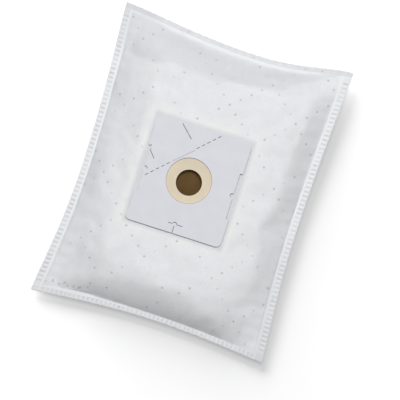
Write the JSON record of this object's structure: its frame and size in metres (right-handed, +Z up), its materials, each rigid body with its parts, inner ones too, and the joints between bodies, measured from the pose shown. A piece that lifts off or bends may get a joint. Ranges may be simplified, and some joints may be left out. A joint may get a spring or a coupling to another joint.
{
  "type": "vacuum dust bag",
  "caption": "Slightly puffed fleece dust bag with welded edges, a die-cut card collar on its front and a rubber seal ring round the inlet.",
  "frame": {"origin": "on the floor under the middle of the bag, which lies on its back", "axes": "+X across the bag, +Y along it towards the plain head seam, +Z up from the floor through the collar"},
  "size_m": [0.243, 0.3043, 0.0412],
  "materials": {
    "fleece": "white spunbond fleece, matte",
    "filter_ply": "brown filter ply, matte",
    "card": "pale bleached card, matte",
    "seal_rubber": "cream natural rubber, satin"
  },
  "bodies": {
    "root": {"front_panel": "fleece", "back_panel": "fleece", "front_filter_ply": "filter_ply", "back_filter_ply": "filter_ply", "collar_face_card": "card", "collar_backing_card": "card", "inlet_seal_ring": "seal_rubber"}
  },
  "joints": []
}
